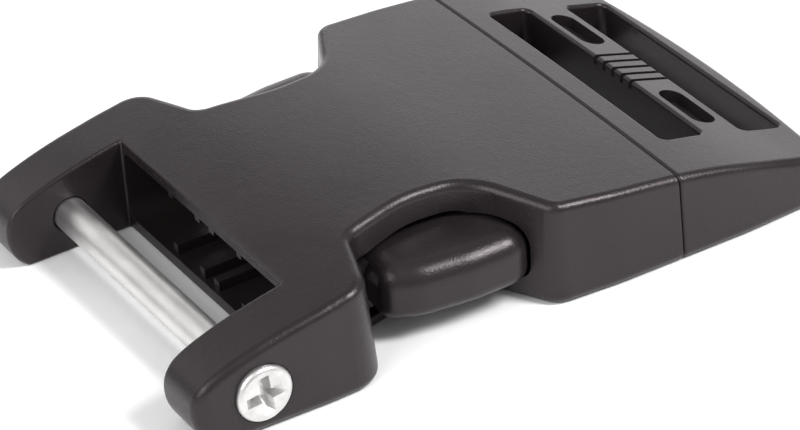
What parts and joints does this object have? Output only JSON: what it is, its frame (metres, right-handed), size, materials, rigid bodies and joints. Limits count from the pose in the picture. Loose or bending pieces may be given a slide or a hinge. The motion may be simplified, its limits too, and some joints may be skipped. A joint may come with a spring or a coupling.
{
  "type": "side release buckle",
  "caption": "Fastened side release buckle: a waisted socket with two arms and a screw pin, and a plug with squeeze buttons and a ladder strap adjuster.",
  "frame": {"origin": "middle of the buckle's length and width, on its flat back", "axes": "+Z out of the domed top, +Y from the screw pin towards the strap adjuster, +X towards the screw head"},
  "size_m": [0.0394, 0.0623, 0.0102],
  "materials": {
    "black_acetal": "fine satin grain",
    "bright_steel": "satin"
  },
  "bodies": {
    "root": {"socket_body": "black_acetal", "latch_plug": "black_acetal", "screw_pin": "bright_steel"}
  },
  "joints": []
}
